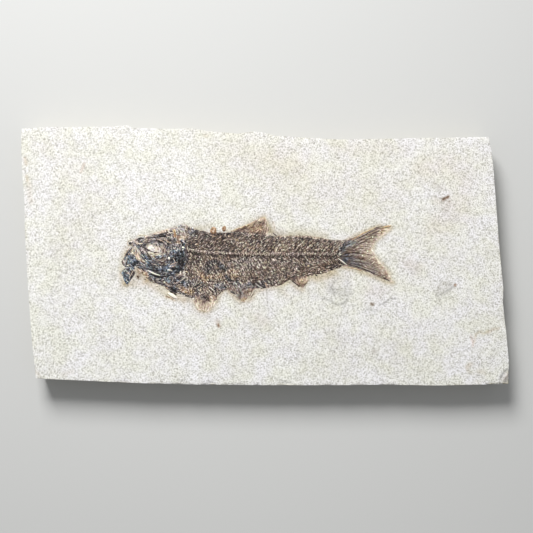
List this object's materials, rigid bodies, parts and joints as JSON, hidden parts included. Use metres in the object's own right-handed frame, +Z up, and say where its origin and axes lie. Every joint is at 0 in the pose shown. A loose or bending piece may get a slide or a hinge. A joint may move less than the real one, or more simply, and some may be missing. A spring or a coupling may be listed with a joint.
{
  "type": "fossil fish slab",
  "caption": "Thin split plate of pale laminated limestone with a brown herring-like fossil fish lying in its upper face.",
  "frame": {"origin": "middle of the slab's bounding box, on the underside that it rests on", "axes": "+X along the slab towards the fish's tail, +Y across it towards the fish's back, +Z up out of the face that shows the fish"},
  "size_m": [0.1967, 0.1034, 0.0117],
  "materials": {
    "limestone": "dry split limestone, off-white, fine mottle, matt",
    "brown_bone": "fossil bone and scale, dark brown, dull satin",
    "dark_bone": "fossil head bone, blue-black, semi-gloss",
    "fin_rays": "fossil fin rays, grey-brown to tan, dull",
    "scale": "shed fossil scale, tan, dull satin"
  },
  "bodies": {
    "root": {"limestone_slab": "limestone", "skull": "brown_bone", "gill_cover": "dark_bone", "upper_jaw": "dark_bone", "lower_jaw": "dark_bone", "throat_rays": "dark_bone", "flank": "brown_bone", "backbone": "brown_bone", "dorsal_fin": "fin_rays", "pectoral_fin": "fin_rays", "pelvic_fin": "fin_rays", "anal_fin": "fin_rays", "tail_fin": "fin_rays", "loose_scale_front": "scale", "loose_scale_rear": "scale"}
  },
  "joints": []
}
